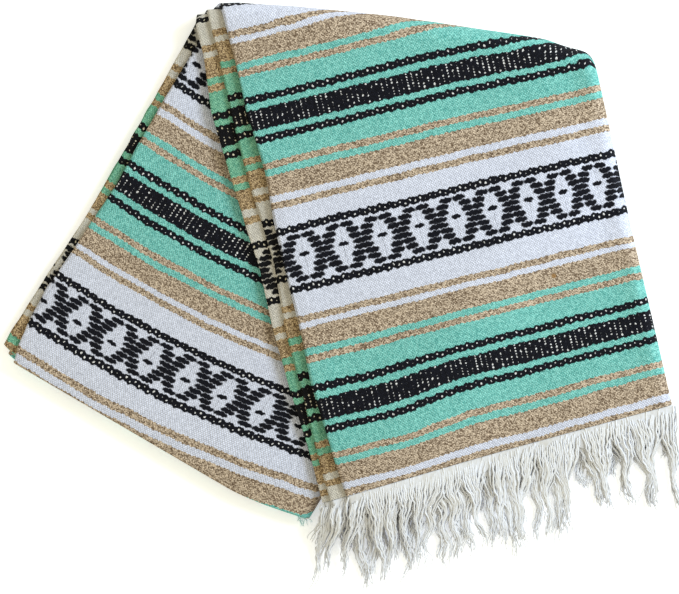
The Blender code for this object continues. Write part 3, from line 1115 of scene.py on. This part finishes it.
class SERAPE_OT_middle_leaves(bpy.types.Operator):
    """Makes leaves 2 and 3, whose edges show as steps at the left"""

    bl_idname = "serape.middle_leaves"
    bl_label = "Middle leaves"

    def execute(self, context):
        sizes, colours = context.scene.serape_sizes, context.scene.serape_colours
        # The inner finish carries painted shade: a warm cream darkening mixed in at 0.75
        finish = serape_weave("serape weave, inner, painted shade", colours, sizes, 0.75)
        rings = wall_rings(MIDDLE_WALL, 0.0)
        piece = cloth("middle_leaves", rings, wall_rungs(), finish)
        nodes = ("front_inner_leaves", "ridge_inner_leaves", "back_inner_leaves")
        declare(piece, "front_leaf_weave", *nodes)
        return {"FINISHED"}


class SERAPE_OT_headings(bpy.types.Operator):
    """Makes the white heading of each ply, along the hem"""

    bl_idname = "serape.headings"
    bl_label = "Headings"

    def execute(self, context):
        colours = context.scene.serape_colours
        mesh = bmesh.new()
        weave = mesh.loops.layers.uv.new("Weave")
        for ply in range(8):
            heading_faces(mesh, weave, ply)
        finish = loose_yarn(
            "heading yarn", colours.heading, colours.heading_shade, colours.sheen, COARSE_STREAKS
        )
        piece = finished("headings", mesh, finish)
        declare(piece, "heading_yarn", "heading_upper", "heading_lower")
        return {"FINISHED"}


class SERAPE_OT_fringe(bpy.types.Operator):
    """Makes the crinkled locks of fringe, ply by ply from the top down"""

    bl_idname = "serape.fringe"
    bl_label = "Fringe"

    def execute(self, context):
        sizes, colours = context.scene.serape_sizes, context.scene.serape_colours
        finish = loose_yarn(
            "fringe yarn", colours.fringe, colours.fringe_shade, colours.sheen, FINE_STREAKS
        )
        chance = random.Random(41)
        count = sizes.locks
        upper = [tuft(chance, (i + 0.5 + chance.uniform(-0.2, 0.2)) / count) for i in range(count)]
        lower = [tuft(chance, (i + chance.uniform(-0.30, 0.30)) / count) for i in range(count + 1)]
        for hang in lower:
            hang["length"] *= LOWER_SHARE
        for pair in range(4):
            lines = []
            for ply in (2 * pair, 2 * pair + 1):
                for hang in upper if ply < UPPER_PLIES else lower:
                    lines += lock(chance, ply, hang, sizes.strands, sizes.strand_width)
            piece = strand_piece(f"fringe_{pair + 1}", lines, finish)
            if pair < 2:
                declare(piece, "fringe_yarn", "fringe_upper")
            else:
                declare(piece, "lower_fringe_yarn", "fringe_lower")
        return {"FINISHED"}


class SERAPE_OT_frayed_corner(bpy.types.Operator):
    """Makes the yarns that have come loose at the back leg's lower right corner"""

    bl_idname = "serape.frayed_corner"
    bl_label = "Frayed corner"

    def execute(self, context):
        sizes, colours = context.scene.serape_sizes, context.scene.serape_colours
        finish = loose_yarn(
            "loose mint yarn", colours.fringe, colours.mint_pale, colours.sheen, FINE_STREAKS
        )
        chance = random.Random(17)
        lines = []
        for k in range(10):
            s = BACK_WIDTH["fold"] - 0.001 - 0.012 * chance.random()
            root = back_plan(s, fold(s) + 0.002)
            level = chance.uniform(0.004, PAD - 0.002)
            lean = math.radians(chance.uniform(-95, -55))
            length = chance.uniform(0.005, 0.012)
            line = []
            for share in shares(10):
                run = share * length
                x = root[0] + math.cos(lean) * run + 0.0008 * math.sin(share * 9 + k)
                y = root[1] + math.sin(lean) * run
                z = between(level, 0.0010, smooth(share * 1.2))
                radius = sizes.strand_width / 2 * between(0.55, 0.25, share)
                line.append(((x, y, max(z, radius)), radius))
            lines.append(line)
        piece = strand_piece("frayed_corner", lines, finish)
        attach(piece, "root")
        return {"FINISHED"}


class SERAPE_OT_sheets(bpy.types.Operator):
    """Does nothing."""

    bl_idname = "serape.sheets"
    bl_label = "Sheets"

    def execute(self, context):
        return {"FINISHED"}


# The camera's sensor in millimetres, the point that it looks at, and the height at which the
# width of the view is measured
SENSOR, VIEW_MIDDLE, VIEW_LEVEL = 36.0, (-0.0011, 0.0035), 0.018
KEY_PLACE, KEY_WIDTH, KEY_TINT = (1.60, 0.80, 1.42), 1.1, (0.76, 0.88, 1.0)
SKY_TINT = (1.0, 0.945, 0.73, 1.0)
FLOOR_TINT, FLOOR_GLOW_TINT = (0.98, 0.98, 0.98, 1.0), (0.90, 0.94, 1.0, 1.0)


class SERAPE_OT_stage(bpy.types.Operator):
    """Sets the pale floor, the soft lights and the camera straight above"""

    bl_idname = "serape.stage"
    bl_label = "Stage"

    def execute(self, context):
        stage = context.scene.serape_stage
        bpy.ops.object.select_all(action="DESELECT")
        bpy.ops.mesh.primitive_plane_add(size=8.0, location=(0.0, 0.0, -0.0002))
        floor = context.view_layer.objects.active
        floor.name = "floor"
        finish = Finish("pale floor", 0.95, 0.0)
        finish.shader.inputs["Base Color"].default_value = FLOOR_TINT
        finish.shader.inputs["Emission Color"].default_value = FLOOR_GLOW_TINT
        finish.shader.inputs["Emission Strength"].default_value = stage.floor_glow
        floor.data.materials.append(finish.made)

        world = bpy.data.worlds.new("surround")
        world.use_nodes = True
        glow = world.node_tree.nodes["Background"]
        glow.inputs["Color"].default_value = SKY_TINT
        glow.inputs["Strength"].default_value = stage.sky_strength
        context.scene.world = world

        lamp = bpy.data.lights.new("key", "AREA")
        lamp.shape = "DISK"
        lamp.size = KEY_WIDTH
        lamp.energy = stage.key_power
        lamp.color = KEY_TINT
        key = bpy.data.objects.new("key", lamp)
        key.location = KEY_PLACE
        aim = Vector((0.0, 0.0, 0.0)) - key.location
        key.rotation_euler = aim.to_track_quat("-Z", "Y").to_euler()
        context.scene.collection.objects.link(key)

        lens = bpy.data.cameras.new("camera")
        lens.sensor_width = SENSOR
        lens.lens = SENSOR * (stage.camera_height - VIEW_LEVEL) / stage.view_width
        lens.clip_end = 50.0
        camera = bpy.data.objects.new("camera", lens)
        camera.location = (*VIEW_MIDDLE, stage.camera_height)
        context.scene.collection.objects.link(camera)
        context.scene.camera = camera
        context.scene.view_settings.view_transform = "Standard"
        return {"FINISHED"}


OPERATORS = (
    SERAPE_OT_outer_leaves,
    SERAPE_OT_middle_leaves,
    SERAPE_OT_headings,
    SERAPE_OT_fringe,
    SERAPE_OT_frayed_corner,
    SERAPE_OT_sheets,
    SERAPE_OT_stage,
)


class SERAPE_PT_panel(bpy.types.Panel):
    """Lists the steps that make the serape"""

    bl_idname = "SERAPE_PT_panel"
    bl_label = "Serape"
    bl_space_type = "VIEW_3D"
    bl_region_type = "UI"
    bl_category = "Serape"

    def draw(self, context):
        for group in ("serape_sizes", "serape_colours", "serape_stage"):
            owner = getattr(context.scene, group)
            box = self.layout.box()
            for name in owner.__annotations__:
                box.prop(owner, name)
        for operator in OPERATORS:
            self.layout.operator(operator.bl_idname)


GROUPS = (
    ("serape_sizes", SerapeSizes),
    ("serape_colours", SerapeColours),
    ("serape_stage", SerapeStage),
)


def register():
    for name, group in GROUPS:
        bpy.utils.register_class(group)
        setattr(bpy.types.Scene, name, PointerProperty(type=group))
    for operator in OPERATORS:
        bpy.utils.register_class(operator)
    bpy.utils.register_class(SERAPE_PT_panel)


def unregister():
    bpy.utils.unregister_class(SERAPE_PT_panel)
    for operator in reversed(OPERATORS):
        bpy.utils.unregister_class(operator)
    for name, group in reversed(GROUPS):
        delattr(bpy.types.Scene, name)
        bpy.utils.unregister_class(group)


def main():
    register()
    bpy.ops.serape.outer_leaves()
    bpy.ops.serape.middle_leaves()
    bpy.ops.serape.headings()
    bpy.ops.serape.fringe()
    bpy.ops.serape.frayed_corner()
    bpy.ops.serape.sheets()
    bpy.ops.serape.stage()
    bpy.context.view_layer.update()


if __name__ == "__main__":
    main()
